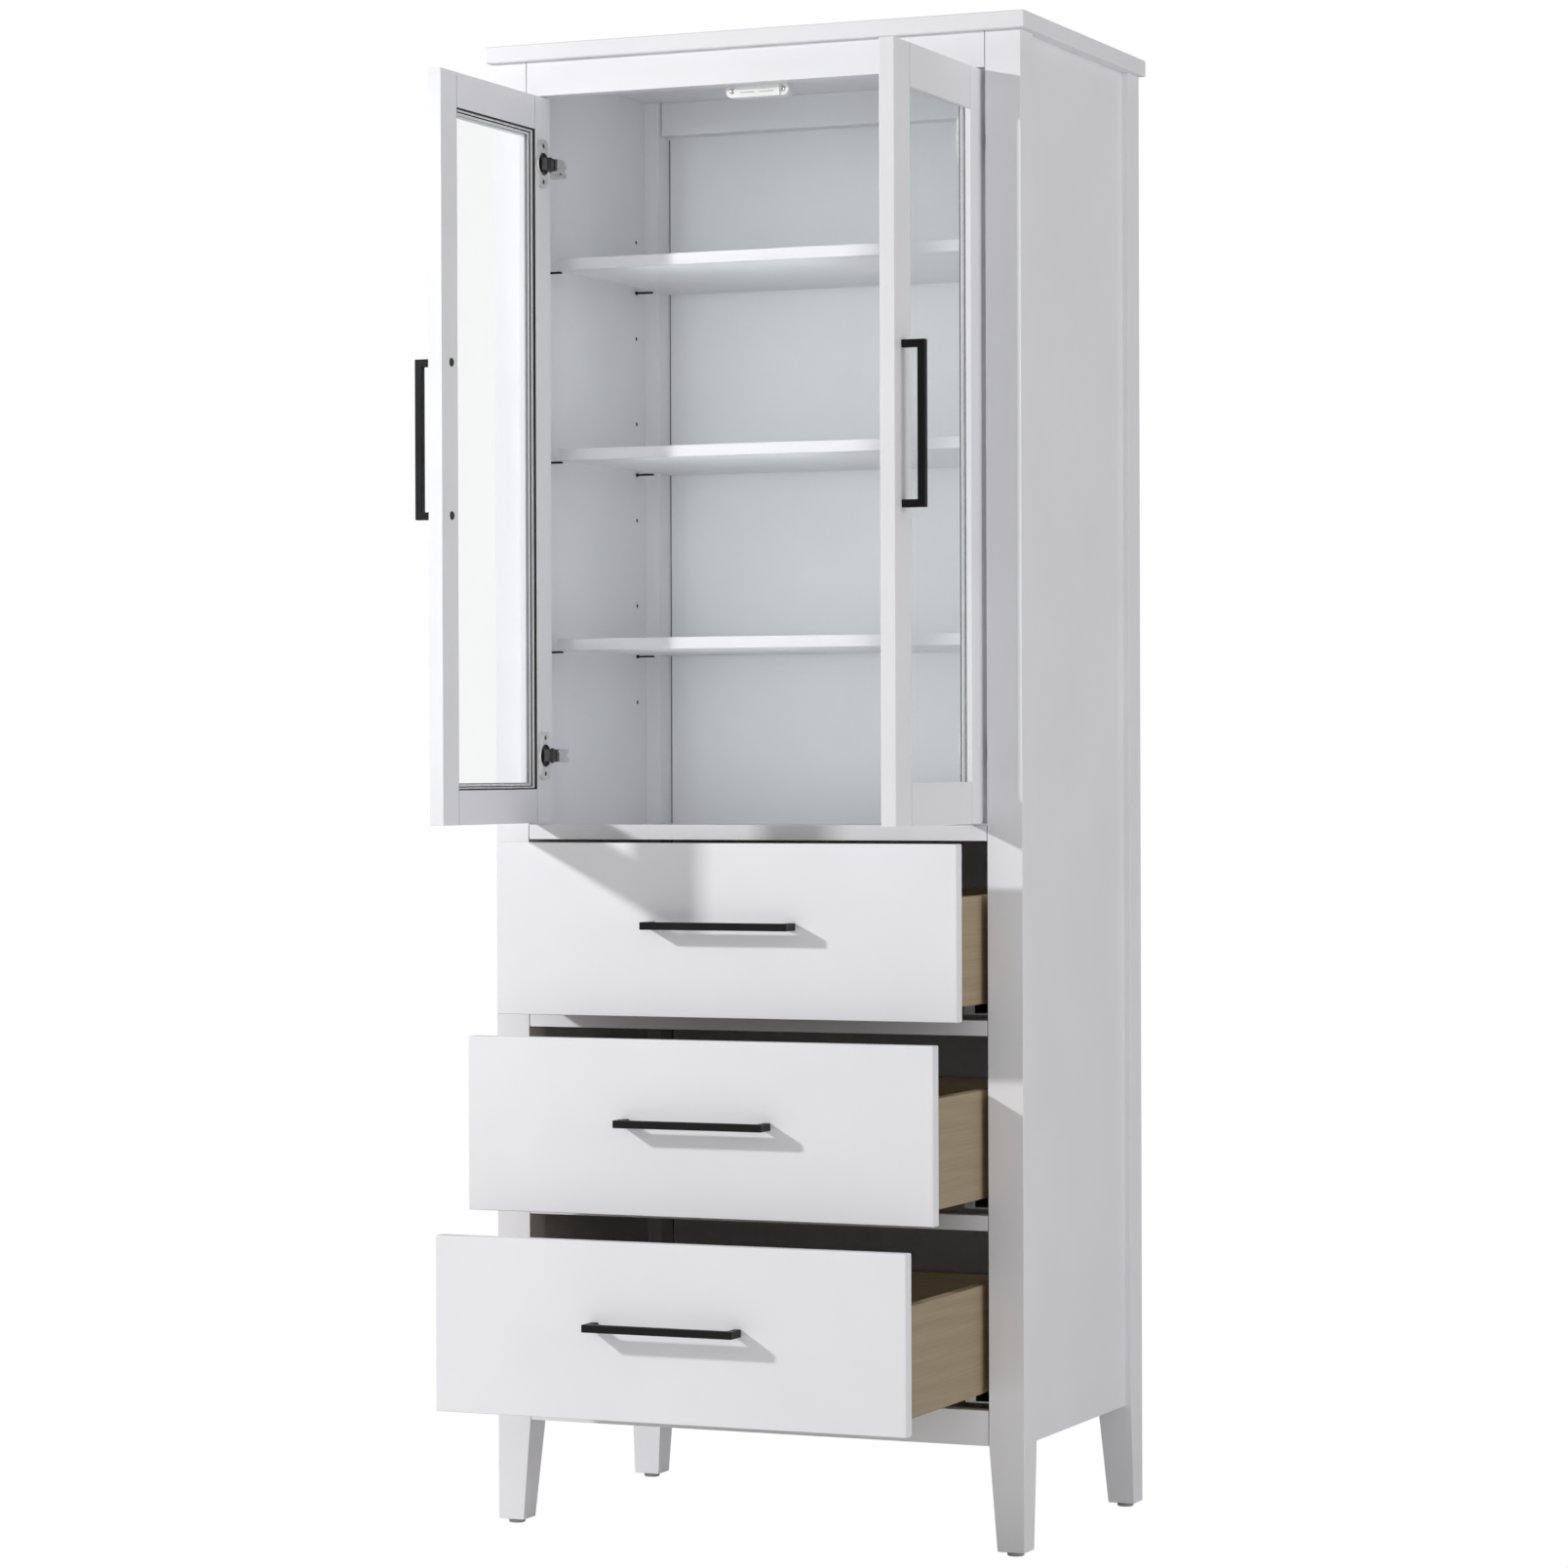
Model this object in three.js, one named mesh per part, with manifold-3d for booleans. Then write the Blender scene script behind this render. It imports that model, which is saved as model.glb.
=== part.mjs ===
// Tall white storage cabinet: two glazed doors over three drawers, on four tapered legs.
// Millimetres. +Z up, -Y is the front, +X is the cabinet's right-hand side seen from the front.
// The doors stand open at a right angle and the drawers are drawn out by different amounts. The
// cabinet is laid out about the middle of its carcass. At the end it is moved along Y, so that the
// origin lies on the floor under the middle of the whole, from the lowest handle to the top's back.
import * as THREE from 'three';
import { mergeVertices } from 'three/addons/utils/BufferGeometryUtils.js';
import Module from 'manifold-3d';

const wasm = await Module();
wasm.setup();

// ---------- driving dimensions ----------

const WIDTH = 610;            // across the posts
const DEPTH = 388;            // over the posts, front to back
const HEIGHT = 1612;          // floor to the top face
const POST = 39;              // square section of the four posts
const LEG_FOOT = 30;          // section of a leg at its lower end
const LEG_TOP = 115;          // height at which the legs start to taper
const GLIDE = { height: 5, radius: 9, neck: 7 };

const TOP = { thick: 18, side: 7, front: 8, back: 4 };
const EASE = 0.8;             // width of the small chamfer on every board edge

const SIDE_PANEL = { thick: 15, recess: 7 };
const BACK_PANEL = { thick: 4, recess: 3 };
const BACK_RAIL = 24;         // thickness of the rails in front of the back panel
const PANEL = 12;             // floor and bottom panels

const DOOR_RAIL_TOP = 764;    // top of the rail that the doors close over
const DRAWER_OPENING = 188;   // clear height of each drawer opening
const RAIL = 16;              // height of the rails between the openings
const TOP_RAIL = 38;
const BOTTOM_RAIL = 37;
const RAIL_DEPTH = 16;
const WEB_DEPTH = 38;         // the two rails between drawers are deeper

const SHELF = { thick: 13, halfWidth: 265, front: -120, back: 186.4 };
const SHELF_UNDERSIDES = [955, 1164.5, 1374];

const GAP = 2.5;              // reveal beside doors and drawer fronts
const GAP_ENDS = 2;           // reveal above and below them

const DOOR = { thick: 16, member: 44, lip: 6, rabbet: 7.5 };
const DOOR_PIVOT = { edge: 9, face: 6 };  // hinge line, in from the edge and the front face
const GLASS = { thick: 3, play: 1 };
const BEAD = { thick: 1.5, width: 7.5 };

const CUP = { radius: 13, wall: 1, depth: 11, floor: 0.8, fromEdge: 22.5 };
const CUP_FLANGE = { width: 20.5, height: 52, thick: 1.2 };
const HINGE_FROM_END = 73;    // hinge centre to the nearer end of the door

const HANDLE = { bar: 8, centres: 160, stand: 25 };
const DOOR_HANDLE = { fromEdge: 22, centre: 1169.5 };
const DRAWER_HANDLE_RISE = 5; // handle centre above the middle of the drawer front

const FRONT = 16;             // thickness of the drawer fronts
const DRAWN_OUT = [85, 154, 232];
const BOX = {
  halfWidth: 258.5, height: 114, length: 328, board: 12,
  rise: 15,                   // above the lower edge of the drawer front
  bottomRise: 11,             // underside of the bottom above the lower edge of the sides
  bottom: 6,
};
const RUNNER = { front: -174, length: 350, metal: 1.5, drop: 12, up: 22, ribIn: 232, ribOut: 244 };

const CATCH = { halfWidth: 36.5, bottom: 1543, height: 29, depth: 18, ear: 9 };

// ---------- derived positions ----------

const halfWidth = WIDTH / 2;
const halfDepth = DEPTH / 2;
const front = -halfDepth;
const opening = halfWidth - POST;             // half the clear width between the posts
const postInside = halfDepth - POST;          // inner faces of the posts, front to back
const topUnderside = HEIGHT - TOP.thick;
const sideOuter = halfWidth - SIDE_PANEL.recess;
const sideInner = sideOuter - SIDE_PANEL.thick;
const backFace = halfDepth - BACK_PANEL.recess - BACK_PANEL.thick;
const doorTopLimit = topUnderside - TOP_RAIL;
const drawerFloors = [1, 2, 3].map((i) => DOOR_RAIL_TOP - i * (RAIL + DRAWER_OPENING));
const CURVE = 48;                             // segments round a full circle

// ---------- materials ----------

const finish = {
  paint: { color: 0xeeeeec, roughness: 0.42, metalness: 0 },
  black: { color: 0x1b1b1c, roughness: 0.5, metalness: 0.4 },
  birch: { color: 0xc9b48e, roughness: 0.6, metalness: 0 },
  glass: { color: 0xdfeae8, roughness: 0.05, metalness: 0, transparent: true, opacity: 0.3 },
  bead: { color: 0xc4c8ca, roughness: 0.3, metalness: 0 },
  nickel: { color: 0xb9bbbd, roughness: 0.3, metalness: 0.9 },
  zinc: { color: 0x9ea1a3, roughness: 0.45, metalness: 0.8 },
  plastic: { color: 0xf2f2f0, roughness: 0.4, metalness: 0 },
  glide: { color: 0xbdbdba, roughness: 0.5, metalness: 0.1 },
};

// ---------- building blocks ----------

const group = new THREE.Group();

function add(name, geometry, kind) {
  const mesh = new THREE.Mesh(geometry, new THREE.MeshStandardMaterial(finish[kind]));
  mesh.name = name;
  group.add(mesh);
  return mesh;
}

/** A plain block from its limits along X, Y and Z. */
function block([x0, x1], [y0, y1], [z0, z1]) {
  const geometry = new THREE.BoxGeometry(Math.abs(x1 - x0), Math.abs(y1 - y0), Math.abs(z1 - z0));
  return geometry.translate((x0 + x1) / 2, (y0 + y1) / 2, (z0 + z1) / 2);
}

/** A board from its limits, with every edge lightly chamfered. */
function board([x0, x1], [y0, y1], [z0, z1], ease = EASE) {
  const hx = Math.abs(x1 - x0) / 2 - ease;
  const hy = Math.abs(y1 - y0) / 2 - ease;
  const thick = Math.abs(z1 - z0) - 2 * ease;
  const corners = [[hx, -hy], [hx, hy], [-hx, hy], [-hx, -hy]];
  const outline = corners.flatMap(([x, y], i) => {
    const along = [[x, y - Math.sign(y) * ease], [x - Math.sign(x) * ease, y]];
    return i % 2 === 0 ? along.reverse() : along;
  });
  const shape = new THREE.Shape(outline.map(([x, y]) => new THREE.Vector2(x, y)));
  const geometry = new THREE.ExtrudeGeometry(shape, {
    depth: thick, bevelEnabled: true, bevelThickness: ease, bevelSize: ease, bevelSegments: 1,
  });
  return geometry.translate((x0 + x1) / 2, (y0 + y1) / 2, Math.min(z0, z1) + ease);
}

function polygon(points) {
  return new THREE.Shape(points.map(([x, y]) => new THREE.Vector2(x, y)));
}

/** Outline in X and Z, extruded along Y. */
function alongY(points, y0, y1) {
  const geometry = new THREE.ExtrudeGeometry(polygon(points), { depth: y1 - y0, bevelEnabled: false });
  return geometry.rotateX(Math.PI / 2).translate(0, y1, 0);
}

/** Outline in Y and Z, extruded along X. */
function alongX(points, x0, x1) {
  const geometry = new THREE.ExtrudeGeometry(polygon(points), { depth: x1 - x0, bevelEnabled: false });
  return geometry.rotateX(Math.PI / 2).rotateZ(Math.PI / 2).translate(x0, 0, 0);
}

/** Outline in X and Y, extruded along Z. */
function alongZ(points, z0, z1) {
  const geometry = new THREE.ExtrudeGeometry(polygon(points), { depth: z1 - z0, bevelEnabled: false });
  return geometry.translate(0, 0, z0);
}

/** A round bar along Y. */
function roundY(radius, y0, y1, x, z) {
  const geometry = new THREE.CylinderGeometry(radius, radius, y1 - y0, CURVE);
  return geometry.translate(x, (y0 + y1) / 2, z);
}

function solid(geometry) {
  const bare = geometry.clone();
  bare.deleteAttribute('normal');
  bare.deleteAttribute('uv');
  const merged = mergeVertices(bare, 1e-4);
  return new wasm.Manifold(new wasm.Mesh({
    numProp: 3,
    vertProperties: new Float32Array(merged.attributes.position.array),
    triVerts: new Uint32Array(merged.index.array),
  }));
}

function geometryOf(manifold) {
  const mesh = manifold.getMesh();
  const geometry = new THREE.BufferGeometry();
  geometry.setAttribute('position', new THREE.BufferAttribute(new Float32Array(mesh.vertProperties), 3));
  geometry.setIndex(new THREE.BufferAttribute(new Uint32Array(mesh.triVerts), 1));
  geometry.computeVertexNormals();
  return geometry;
}

const join = (...parts) => geometryOf(parts.map(solid).reduce((a, b) => a.add(b)));
const common = (a, b) => geometryOf(solid(a).intersect(solid(b)));
const cut = (base, ...tools) => geometryOf(tools.map(solid).reduce((a, b) => a.subtract(b), solid(base)));

/** A pair of limits mirrored to the side s. */
const across = (s, a, b) => [s * a, s * b];

// ---------- carcass ----------

add('top_board', board(
  [-halfWidth - TOP.side, halfWidth + TOP.side],
  [front - TOP.front, halfDepth + TOP.back],
  [topUnderside, HEIGHT],
  1.5,
), 'paint');

/** Post and leg in one, tapering below on its two inner faces. sx and sy choose the corner. */
function post(sx, sy) {
  const profile = (outer, s) => [
    [s * outer, GLIDE.height],
    [s * outer, topUnderside],
    [s * (outer - POST), topUnderside],
    [s * (outer - POST), LEG_TOP],
    [s * (outer - LEG_FOOT), GLIDE.height],
  ];
  const inX = alongY(profile(halfWidth, sx), ...[sy * postInside, sy * halfDepth].sort((a, b) => a - b));
  const inY = alongX(profile(halfDepth, sy), ...[sx * opening, sx * halfWidth].sort((a, b) => a - b));
  return common(inX, inY);
}

function glide(sx, sy) {
  const { height, radius, neck } = GLIDE;
  const profile = [
    [0, 0], [radius - 0.8, 0], [radius, 0.8], [radius, height - 1.6],
    [neck, height - 1.2], [neck, height], [0, height],
  ];
  const lathe = new THREE.LatheGeometry(profile.map(([r, z]) => new THREE.Vector2(r, z)), CURVE);
  const inset = LEG_FOOT / 2;
  return lathe.rotateX(Math.PI / 2).translate(sx * (halfWidth - inset), sy * (halfDepth - inset), 0);
}

for (const [sy, where] of [[-1, 'front'], [1, 'rear']]) {
  for (const [sx, side] of [[-1, 'left'], [1, 'right']]) {
    add(`post_${where}_${side}`, post(sx, sy), 'paint');
    add(`glide_${where}_${side}`, glide(sx, sy), 'glide');
  }
}

for (const [s, side] of [[-1, 'left'], [1, 'right']]) {
  add(`side_panel_${side}`, block(
    across(s, sideInner, sideOuter),
    [-postInside, postInside],
    [LEG_TOP, topUnderside],
  ), 'paint');
}

add('back_panel', block([-opening, opening], [backFace, backFace + BACK_PANEL.thick],
  [LEG_TOP, topUnderside]), 'paint');

/** A rail between two posts, from its front face, depth, lower edge and height. */
function rail(name, y, depth, z, height) {
  add(name, board([-opening, opening], [y, y + depth], [z, z + height]), 'paint');
}

rail('rail_top', front, RAIL_DEPTH, doorTopLimit, TOP_RAIL);
rail('rail_under_doors', front, RAIL_DEPTH, DOOR_RAIL_TOP - RAIL, RAIL);
rail('rail_drawers_upper', front, WEB_DEPTH, drawerFloors[0] - RAIL, RAIL);
rail('rail_drawers_lower', front, WEB_DEPTH, drawerFloors[1] - RAIL, RAIL);
rail('rail_bottom', front, RAIL_DEPTH, LEG_TOP, BOTTOM_RAIL);
rail('back_rail_top', backFace - BACK_RAIL, BACK_RAIL, doorTopLimit, TOP_RAIL);
rail('back_rail_bottom', backFace - BACK_RAIL, BACK_RAIL, LEG_TOP, BOTTOM_RAIL);

/** A horizontal panel between the side panels, notched round the four posts. */
function notchedPanel(back, z) {
  const start = front + RAIL_DEPTH;
  const outline = [
    [opening, start], [opening, -postInside], [sideInner, -postInside],
    [sideInner, postInside], [opening, postInside], [opening, back],
  ];
  const mirrored = outline.map(([x, y]) => [-x, y]).reverse();
  return alongZ([...outline, ...mirrored], z, z + PANEL);
}

add('floor_panel', notchedPanel(backFace, DOOR_RAIL_TOP - RAIL), 'paint');
add('bottom_panel', notchedPanel(backFace - BACK_RAIL, LEG_TOP + 2), 'paint');

SHELF_UNDERSIDES.forEach((z, i) => {
  add(`shelf_${i + 1}`, board(
    [-SHELF.halfWidth, SHELF.halfWidth],
    [SHELF.front, SHELF.back],
    [z, z + SHELF.thick],
  ), 'paint');
});

// The catch hangs behind the top rail, its face just clear of the closed doors.
const catchTop = CATCH.bottom + CATCH.height;
const catchFace = front + DOOR.thick;
const catchBody = alongX([
  [catchFace, catchTop], [catchFace, doorTopLimit], [catchFace + 0.3, doorTopLimit],
  [catchFace + 0.3, CATCH.bottom], [catchFace + CATCH.depth, CATCH.bottom],
  [catchFace + CATCH.depth, catchTop - 6], [catchFace + CATCH.depth - 6, catchTop],
], -CATCH.halfWidth, CATCH.halfWidth);
const catchEars = [-1, 1].map((s) => block(
  across(s, CATCH.halfWidth - CATCH.ear, CATCH.halfWidth + 1),
  [catchFace + 6, catchFace + CATCH.depth + 1],
  [CATCH.bottom - 1, catchTop + 1],
));
add('magnetic_catch', cut(catchBody, ...catchEars), 'plastic');

// ---------- handles ----------

/** A square bar pull on two legs, its bar along X, standing off the plane y = 0 towards -Y. */
function pull() {
  const { bar, centres, stand } = HANDLE;
  const half = (centres + bar) / 2;
  const outline = [
    [-half, 0], [-half, -stand], [half, -stand], [half, 0],
    [half - bar, 0], [half - bar, bar - stand], [bar - half, bar - stand], [bar - half, 0],
  ];
  return alongZ(outline, -bar / 2, bar / 2);
}

// ---------- doors, built closed and swung open ----------

const doorWidth = (2 * opening - 3 * GAP) / 2;
const doorFoot = DOOR_RAIL_TOP + GAP_ENDS;
const doorHead = doorTopLimit - GAP_ENDS;
const doorBack = front + DOOR.thick;
const pivotX = opening - GAP - DOOR_PIVOT.edge;
const pivotY = front + DOOR_PIVOT.face;
const hingeHeights = [['upper', doorHead - HINGE_FROM_END], ['lower', doorFoot + HINGE_FROM_END]];

/** Turns a door piece on the side s from its closed place to its open one. */
function swing(geometry, s) {
  return geometry
    .translate(-s * pivotX, -pivotY, 0)
    .rotateZ(s * Math.PI / 2)
    .translate(s * pivotX, pivotY, 0);
}

/** A rectangular ring in the plane of the door, s side, between two insets from the door's edges. */
function doorRing(s, outer, inner, y0, y1) {
  const xs = [opening - GAP, opening - GAP - doorWidth];
  const plate = (inset, pad) => block(
    across(s, xs[0] - inset, xs[1] + inset),
    [y0 - pad, y1 + pad],
    [doorFoot + inset, doorHead - inset],
  );
  return cut(plate(outer, 0), plate(inner, 1));
}

function doorPlate(s, inset, y0, y1) {
  const hingeEdge = opening - GAP - inset;
  return block(
    across(s, hingeEdge, hingeEdge - doorWidth + 2 * inset),
    [y0, y1],
    [doorFoot + inset, doorHead - inset],
  );
}

/** Door frame with the rabbet for the glass and a bore for each hinge cup. */
function doorFrame(s) {
  const body = board(
    across(s, opening - GAP - doorWidth, opening - GAP),
    [front, doorBack],
    [doorFoot, doorHead],
  );
  const sight = doorPlate(s, DOOR.member, front - 1, doorBack + 1);
  const rabbet = doorPlate(s, DOOR.member - DOOR.rabbet, front + DOOR.lip, doorBack + 1);
  const cupX = s * (opening - GAP - CUP.fromEdge);
  const bores = hingeHeights.map(([, z]) => roundY(
    CUP.radius + 0.3, doorBack - CUP.depth - 0.3, doorBack + 1, cupX, z,
  ));
  return cut(body, sight, rabbet, ...bores);
}

/** Hinge cup with its flange on the back of the door. */
function hingeCup(s, z) {
  const x = s * (opening - GAP - CUP.fromEdge);
  const flange = board(
    [x - CUP_FLANGE.width / 2, x + CUP_FLANGE.width / 2],
    [doorBack, doorBack + CUP_FLANGE.thick],
    [z - CUP_FLANGE.height / 2, z + CUP_FLANGE.height / 2],
    0.3,
  );
  const bowl = roundY(CUP.radius, doorBack - CUP.depth, doorBack + 0.6, x, z);
  const hollow = roundY(CUP.radius - CUP.wall, doorBack - CUP.depth + CUP.floor, doorBack + 3, x, z);
  const outside = solid(flange).add(solid(bowl));
  return geometryOf(outside.subtract(solid(hollow)));
}

/** Hinge arm on the inner face of the front post: wing plate, arm, and a nose for the cup. */
function hingeArm(s, z) {
  const at = (a, b) => across(s, pivotX - a, pivotX - b);
  const deep = (a, b) => [pivotY + a, pivotY + b];
  const wall = pivotX - opening;
  const wings = block(at(wall, wall + 2.5), deep(14, 30), [z - 25, z + 25]);
  const arm = block(at(wall, 5), deep(14, 62), [z - 7.5, z + 7.5]);
  const neck = block(at(4, 23), deep(14, 22), [z - 6, z + 6]);
  const nose = block(at(13, 23), deep(0.5, 15), [z - 6, z + 6]);
  return join(wings, arm, neck, nose);
}

const doorGlassInset = DOOR.member - DOOR.rabbet + GLASS.play;
const glassFace = front + DOOR.lip;
const glassBack = glassFace + GLASS.thick;
const beadOuter = DOOR.member - DOOR.rabbet;

for (const [s, side] of [[-1, 'left'], [1, 'right']]) {
  add(`door_${side}_frame`, swing(doorFrame(s), s), 'paint');
  add(`door_${side}_glass`, swing(doorPlate(s, doorGlassInset, glassFace, glassBack), s), 'glass');
  const bead = doorRing(s, beadOuter, beadOuter + BEAD.width, glassBack, glassBack + BEAD.thick);
  add(`door_${side}_bead`, swing(bead, s), 'bead');

  const handleX = s * (opening - GAP - doorWidth + DOOR_HANDLE.fromEdge);
  const handle = pull().rotateY(Math.PI / 2).translate(handleX, front, DOOR_HANDLE.centre);
  add(`door_${side}_handle`, swing(handle, s), 'black');

  for (const [level, z] of hingeHeights) {
    add(`hinge_cup_${side}_${level}`, swing(hingeCup(s, z), s), 'nickel');
    add(`hinge_arm_${side}_${level}`, hingeArm(s, z), 'nickel');
  }
}

// ---------- drawers ----------

/** The box of a drawer without its bottom: two full sides, and ends held up clear of the runners. */
function drawerBox(y, z) {
  const { halfWidth: half, height, length, board: thick, bottomRise } = BOX;
  const outer = block([-half, half], [y, y + length], [z, z + height]);
  const inside = block([thick - half, half - thick], [y + thick, y + length - thick], [z - 1, z + height + 1]);
  const under = block([thick - half, half - thick], [y - 1, y + length + 1], [z - 1, z + bottomRise]);
  return cut(outer, inside, under);
}

/** The steel runner of one side: a flange on the posts, a foot and the rib that the drawer rides on. */
function runner(s, z) {
  const { front: y, length, metal, drop, up, ribIn, ribOut } = RUNNER;
  const low = z - drop;
  const outline = [
    [opening, low], [opening, z + up], [opening - metal, z + up], [opening - metal, low + metal],
    [ribOut, low + metal], [ribOut, z + BOX.bottomRise - 1], [ribIn, z + BOX.bottomRise - 1], [ribIn, low],
  ].map(([x, v]) => [s * x, v]);
  return alongY(outline, y, y + length);
}

drawerFloors.forEach((openingFloor, i) => {
  const n = i + 1;
  const face = front - DRAWN_OUT[i];
  const low = openingFloor + GAP_ENDS;
  const high = openingFloor + DRAWER_OPENING - GAP_ENDS;
  add(`drawer_${n}_front`, board(
    [GAP - opening, opening - GAP],
    [face, face + FRONT],
    [low, high],
  ), 'paint');

  const boxFloor = low + BOX.rise;
  const boxFront = face + FRONT;
  const inside = BOX.halfWidth - BOX.board;
  add(`drawer_${n}_box`, drawerBox(boxFront, boxFloor), 'birch');
  add(`drawer_${n}_bottom`, block(
    [-inside, inside],
    [boxFront + BOX.board, boxFront + BOX.length - BOX.board],
    [boxFloor + BOX.bottomRise, boxFloor + BOX.bottomRise + BOX.bottom],
  ), 'birch');

  const handle = pull().translate(0, face, (low + high) / 2 + DRAWER_HANDLE_RISE);
  add(`drawer_${n}_handle`, handle, 'black');

  for (const [s, side] of [[-1, 'left'], [1, 'right']]) {
    add(`runner_${n}_${side}`, runner(s, boxFloor), 'zinc');
  }
});

// ---------- origin under the middle of the opened cabinet ----------

const reach = front - Math.max(...DRAWN_OUT) - HANDLE.stand;
const middle = (reach + halfDepth + TOP.back) / 2;
for (const mesh of group.children) {
  mesh.geometry.translate(0, -middle, 0);
}

export default group;
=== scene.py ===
"""Looks of a tall white storage cabinet: two glazed doors over three drawers, on four tapered legs.

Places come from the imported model's boxes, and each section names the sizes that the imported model
doesn't hold. Everything is in metres, +Z up, with the front towards -Y. Side -1 is the left, and
side 1 the right.
"""
import math

import bmesh
import bpy
from mathutils import Matrix, Vector


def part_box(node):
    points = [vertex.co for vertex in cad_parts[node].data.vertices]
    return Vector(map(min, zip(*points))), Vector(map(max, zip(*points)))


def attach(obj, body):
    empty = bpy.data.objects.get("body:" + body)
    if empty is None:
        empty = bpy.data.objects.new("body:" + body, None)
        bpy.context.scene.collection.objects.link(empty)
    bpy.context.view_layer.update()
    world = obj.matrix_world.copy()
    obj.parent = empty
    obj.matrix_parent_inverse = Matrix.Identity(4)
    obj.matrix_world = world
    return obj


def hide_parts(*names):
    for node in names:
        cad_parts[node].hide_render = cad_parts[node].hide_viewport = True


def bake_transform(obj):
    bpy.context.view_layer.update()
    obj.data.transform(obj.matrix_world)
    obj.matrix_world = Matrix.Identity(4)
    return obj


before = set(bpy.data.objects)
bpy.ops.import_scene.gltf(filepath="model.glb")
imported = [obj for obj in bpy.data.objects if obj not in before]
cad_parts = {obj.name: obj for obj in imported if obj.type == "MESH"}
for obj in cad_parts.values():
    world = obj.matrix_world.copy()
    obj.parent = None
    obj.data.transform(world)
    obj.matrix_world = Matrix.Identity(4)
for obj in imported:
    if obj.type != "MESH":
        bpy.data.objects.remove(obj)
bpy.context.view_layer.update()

MM = 0.001
SIDES = ((-1, "left"), (1, "right"))
LEVELS = ("upper", "lower")
SHELVES = (1, 2, 3)
DRAWERS = (1, 2, 3)

OVERRUN = 2 * MM              # how far a cutter starts outside the face that it cuts
SEAM = 0.45 * MM              # rounding of edges that meet in a joint line
SEAM_GAP = 0.9 * MM           # open width of a joint line, and its depth
SEAM_DEPTH = 3.5 * MM
TENON = 2 * MM                # how far a tenon runs on into the next member

# ---------- materials ----------


def shaded(colour, share):
    """A colour made darker or lighter."""
    return tuple(c * share for c in colour)


def squeezed(axis, along, across):
    """How far a texture is squeezed along each axis, for lines that run along one of them."""
    return [along if k == axis else across for k in range(3)]


class Finish:
    """A node material with one Principled shader, and short ways to drive it from the surface."""

    def __init__(self, name, **sockets):
        self.material = bpy.data.materials.new(name)
        self.material.use_nodes = True
        self.tree = self.material.node_tree
        self.shader = self.tree.nodes["Principled BSDF"]
        self.relief = None
        self.feed(self.shader, **sockets)

    def node(self, kind, **settings):
        made = self.tree.nodes.new("ShaderNode" + kind)
        for key, value in settings.items():
            setattr(made, key, value)
        return made

    def feed(self, node, **values):
        """Sets or links a node's inputs by name."""
        for name, value in values.items():
            self.put(value, node.inputs[name.replace("_", " ")])
        return node

    def put(self, value, socket):
        if isinstance(value, bpy.types.NodeSocket):
            self.tree.links.new(value, socket)
        else:
            socket.default_value = value

    def place(self, squeeze=(1, 1, 1)):
        """Where a point is on the object, squeezed along the three axes."""
        where = self.node("TexCoord").outputs["Object"]
        return self.feed(self.node("Mapping"), Vector=where, Scale=squeeze).outputs["Vector"]

    def noise(self, scale, squeeze=(1, 1, 1), detail=2.0, roughness=0.5):
        made = self.node("TexNoise")
        self.feed(made, Vector=self.place(squeeze), Scale=scale, Detail=detail, Roughness=roughness)
        return made.outputs["Fac"]

    def between(self, value, low, high, start=0.3, end=0.7):
        """Low to high, as the value goes from start to end."""
        made = self.node("MapRange")
        self.feed(made, Value=value, From_Min=start, From_Max=end, To_Min=low, To_Max=high)
        return made.outputs["Result"]

    def combined(self, operation, first, second):
        """Two values joined by an arithmetic operation."""
        made = self.node("Math", operation=operation)
        self.put(first, made.inputs[0])
        self.put(second, made.inputs[1])
        return made.outputs[0]

    def mixed(self, share, first, second):
        """A colour between two, by a share from 0 to 1."""
        made = self.node("Mix", data_type="RGBA")
        share_socket, first_socket, second_socket = (made.inputs[k] for k in (0, 6, 7))
        self.put(share, share_socket)
        for colour, socket in ((first, first_socket), (second, second_socket)):
            self.put((*colour, 1) if isinstance(colour, tuple) else colour, socket)
        return made.outputs[2]

    def colour(self, value):
        self.feed(self.shader, Base_Color=value)

    def rough(self, value):
        self.feed(self.shader, Roughness=value)

    def bump(self, height, distance, strength=1.0):
        """Adds a relief of that depth to the ones before it."""
        made = self.feed(self.node("Bump"), Height=height, Distance=distance, Strength=strength)
        if self.relief is not None:
            self.feed(made, Normal=self.relief)
        self.relief = made.outputs["Normal"]
        self.feed(self.shader, Normal=self.relief)


def paint(name, tint, grain=None):
    """Satin lacquer: cloudy tint, slow waves, fine orange peel, and wood lines along the grain's axis."""
    made = Finish(name, Specular_IOR_Level=0.45)
    cloud = made.noise(7, detail=3)
    made.colour(made.mixed(made.between(cloud, 0, 1), shaded(tint, 0.965), tint))
    made.rough(made.between(made.noise(18, detail=4), 0.34, 0.46))
    waves = made.noise(11, detail=1)
    made.bump(waves, 0.5 * MM, 0.25)
    if grain is not None:
        lines = made.noise(1, squeezed(grain, along=9, across=420), detail=3)
        made.bump(lines, 0.05 * MM, 0.5)
    peel = made.noise(620, detail=2)
    made.bump(peel, 0.03 * MM, 0.6)
    return made.material


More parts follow.
